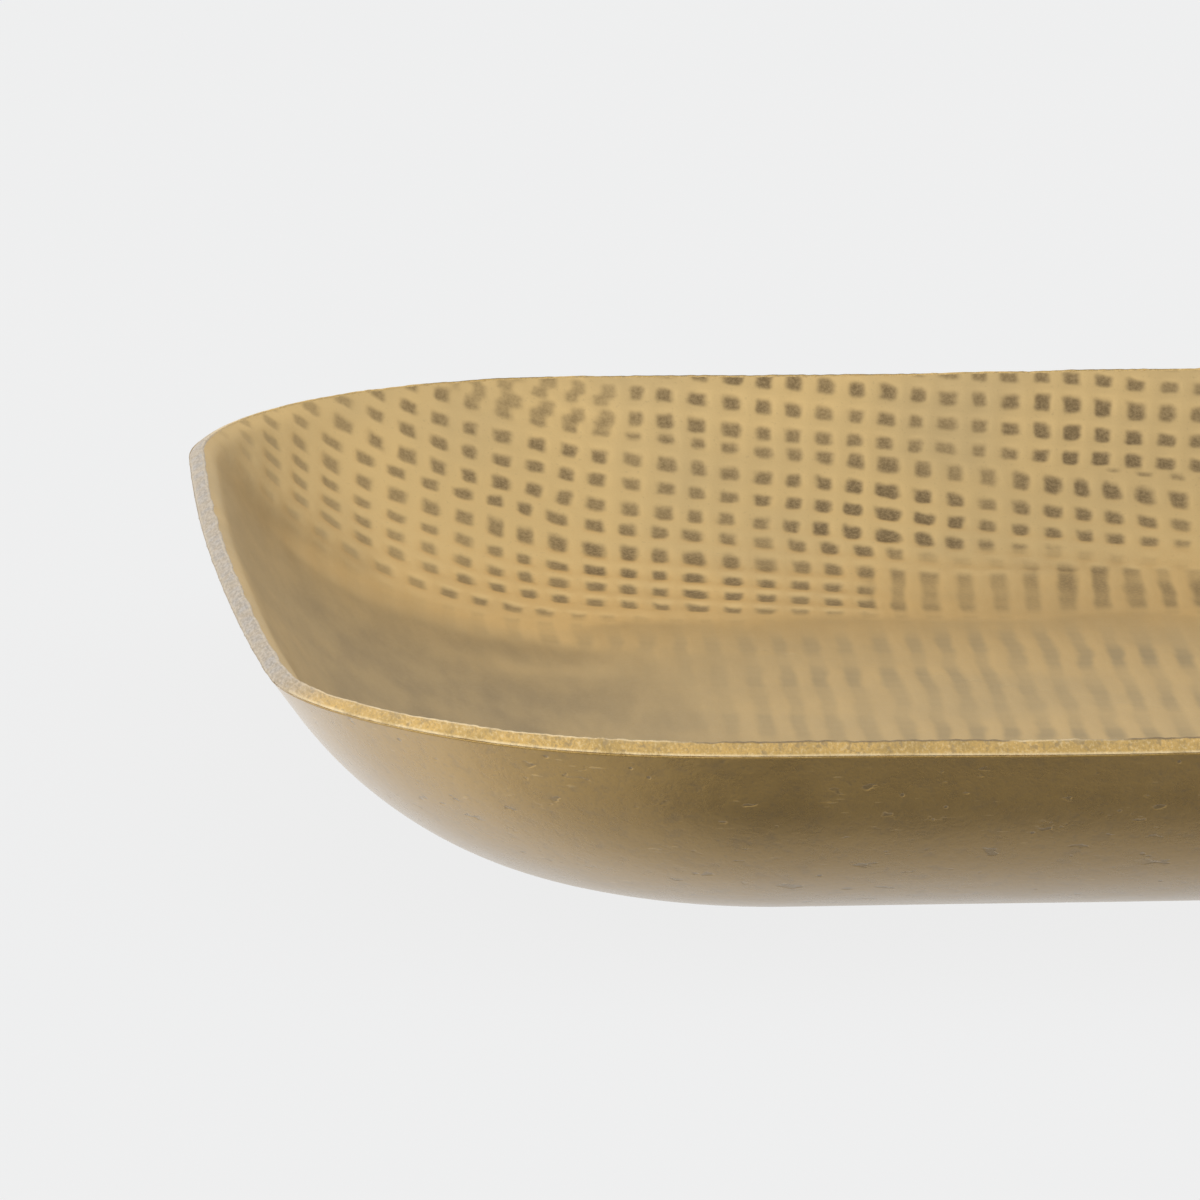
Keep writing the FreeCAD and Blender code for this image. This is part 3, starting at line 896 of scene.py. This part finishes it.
def felt_material():
    """Brown wool felt: clumps, stray paler fibres and a little sheen."""
    shader = Shader("felt")
    clumps = shader.noise(1.6 * MM, 5, 0.7)
    fibres = shader.noise(0.25 * MM, 5, 0.75, (1, 0.35, 1))
    colour = shader.blend(shader.fit(clumps, 0.3, 0.7), FELT_DARK, FELT_BROWN)
    colour = shader.blend(shader.fit(fibres, 0.55, 0.75, 0.0, 0.5), colour, FELT_FIBRE)
    roughness = shader.math("MULTIPLY_ADD", fibres, 0.1, 0.85)
    normal = shader.bump(fibres, 0.12 * MM, 0.8)
    inputs = {"Base Color": colour, "Roughness": roughness, "Normal": normal, "Sheen Weight": 0.4}
    return shader.finish(inputs)


# --------------------------------------------------------------------------------------
# The tray
# --------------------------------------------------------------------------------------

INSIDE_SPACING = 0.95 * MM
OUTSIDE_SPACING = 2.0 * MM
RIM_SPACING = 0.5 * MM

inside = tray_inside(INSIDE_SPACING)
inside.data.materials.append(inside_material())
outside = tray_outside(OUTSIDE_SPACING)
outside.data.materials.append(outside_material())
rim = tray_rim(RIM_SPACING)
rim.data.materials.append(rim_material())
for piece in (inside, outside, rim):
    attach(piece, "root")
    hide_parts("tray_casting")

felt = felt_material()
for corner in ("front_left", "front_right", "back_left", "back_right"):
    pad = felt_pad(f"felt_pad_{corner}", f"pad_{corner}")
    pad.data.materials.append(felt)
    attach(pad, "root")
    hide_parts(f"felt_pad_{corner}")

# --------------------------------------------------------------------------------------
# Floor, light and camera
# --------------------------------------------------------------------------------------

FLOOR_HALF = 40.0
FLOOR_GLOW_SHARE = 0.96
FLOOR_GLOW = 1.02


def floor_material():
    """Pale paper, lit mostly from below like a light table, so that shadows stay faint."""
    shader = Shader("pale_floor")
    colour = shader.blend(shader.noise(0.4, 2), PAPER_COOL, PAPER)
    surface = shader.node("BsdfDiffuse", {"Color": colour})
    glow = shader.node("Emission", {"Color": colour, "Strength": FLOOR_GLOW})
    mix = {0: FLOOR_GLOW_SHARE, 1: surface.outputs[0], 2: glow.outputs[0]}
    mixed = shader.node("MixShader", mix)
    shader.node("OutputMaterial", {"Surface": mixed.outputs[0]})
    return shader.material


corners = [(-FLOOR_HALF, -FLOOR_HALF, 0), (FLOOR_HALF, -FLOOR_HALF, 0)]
corners += [(FLOOR_HALF, FLOOR_HALF, 0), (-FLOOR_HALF, FLOOR_HALF, 0)]
floor = build_mesh("floor", np.array(corners, float), [(0, 1, 2, 3)])
floor.data.materials.append(floor_material())
floor.visible_glossy = False
floor.visible_shadow = False


class Operations:
    """Short calls for maths nodes in a tree."""

    def __init__(self, nodes, links):
        self.nodes, self.links = nodes, links

    def do(self, operation, *values):
        made = self.nodes.new("ShaderNodeMath")
        made.operation = operation
        for socket, value in zip(made.inputs, values):
            if isinstance(value, bpy.types.NodeSocket):
                self.links.new(value, socket)
            else:
                socket.default_value = value
        return made.outputs[0]


WORLD_LIGHT = 1.7
LEAST_FROM_RIGHT = 0.7
LIGHT_BY_HEIGHT = (
    (0.0, 0.12), (0.02, 0.34), (0.06, 0.355), (0.13, 0.45), (0.22, 0.42), (0.40, 0.56),
    (0.52, 0.61), (0.62, 0.55), (0.80, 0.71), (0.95, 0.54),
)
SLANT_BY_HEIGHT = (
    (0.0, 0.20), (0.05, 0.50), (0.15, 1.30), (0.30, 1.90), (0.42, 2.30), (0.52, 0.35),
)


def ramp(nodes, links, value, levels):
    """A smooth grey ramp through (place, level) pairs."""
    node = nodes.new("ShaderNodeValToRGB")
    node.color_ramp.interpolation = "CARDINAL"
    stops = node.color_ramp.elements
    stops[0].position, stops[1].position = levels[0][0], levels[-1][0]
    for place, _ in levels[1:-1]:
        stops.new(place)
    for stop, (_, level) in zip(stops, levels):
        stop.color = (level, level, level, 1)
    links.new(value, node.inputs["Fac"])
    return node.outputs["Color"]


def studio_world():
    """Soft light all round, brightest from well above the horizon and dim from straight below.

    Heights run from 0, straight below, to 1, straight above. The light is stronger from the
    left than from the right by the slant, which is largest just below the horizon.
    """
    world = bpy.data.worlds.new("studio")
    world.use_nodes = True
    tree = world.node_tree
    tree.nodes.clear()
    nodes, links = tree.nodes, tree.links
    place = nodes.new("ShaderNodeTexCoord")
    parts = nodes.new("ShaderNodeSeparateXYZ")
    links.new(place.outputs["Generated"], parts.inputs[0])
    height = nodes.new("ShaderNodeMapRange")
    height.inputs["From Min"].default_value = -1.0
    links.new(parts.outputs["Z"], height.inputs["Value"])
    level, slant = (
        ramp(nodes, links, height.outputs["Result"], stops)
        for stops in (LIGHT_BY_HEIGHT, SLANT_BY_HEIGHT)
    )
    side = Operations(nodes, links)
    from_left = side.do("SUBTRACT", 1.0, side.do("MULTIPLY", slant, parts.outputs["X"]))
    from_left = side.do("MAXIMUM", from_left, LEAST_FROM_RIGHT)
    from_left = side.do("MULTIPLY", from_left, WORLD_LIGHT)
    background = nodes.new("ShaderNodeBackground")
    links.new(level, background.inputs["Color"])
    links.new(from_left, background.inputs["Strength"])
    output = nodes.new("ShaderNodeOutputWorld")
    links.new(background.outputs[0], output.inputs["Surface"])
    return world


scene = bpy.context.scene
scene.world = studio_world()
scene.view_settings.view_transform = "Standard"
scene.view_settings.look = "None"

CAMERA_PITCH = 0.173
CAMERA_TURN = 0.092
CAMERA_PLACE = (-0.33005, -1.77109, 0.33720)
CAMERA_SENSOR = 36.0
CAMERA_LENS = 360.0
CAMERA_CLIP = (0.05, 200.0)
camera = bpy.data.objects.new("camera", bpy.data.cameras.new("camera"))
scene.collection.objects.link(camera)
camera.data.sensor_width = CAMERA_SENSOR
camera.data.lens = CAMERA_LENS
camera.data.clip_start, camera.data.clip_end = CAMERA_CLIP
looking = Vector((
    math.sin(CAMERA_TURN) * math.cos(CAMERA_PITCH),
    math.cos(CAMERA_TURN) * math.cos(CAMERA_PITCH),
    -math.sin(CAMERA_PITCH),
))
camera.rotation_euler = looking.to_track_quat("-Z", "Y").to_euler()
camera.location = CAMERA_PLACE
scene.camera = camera
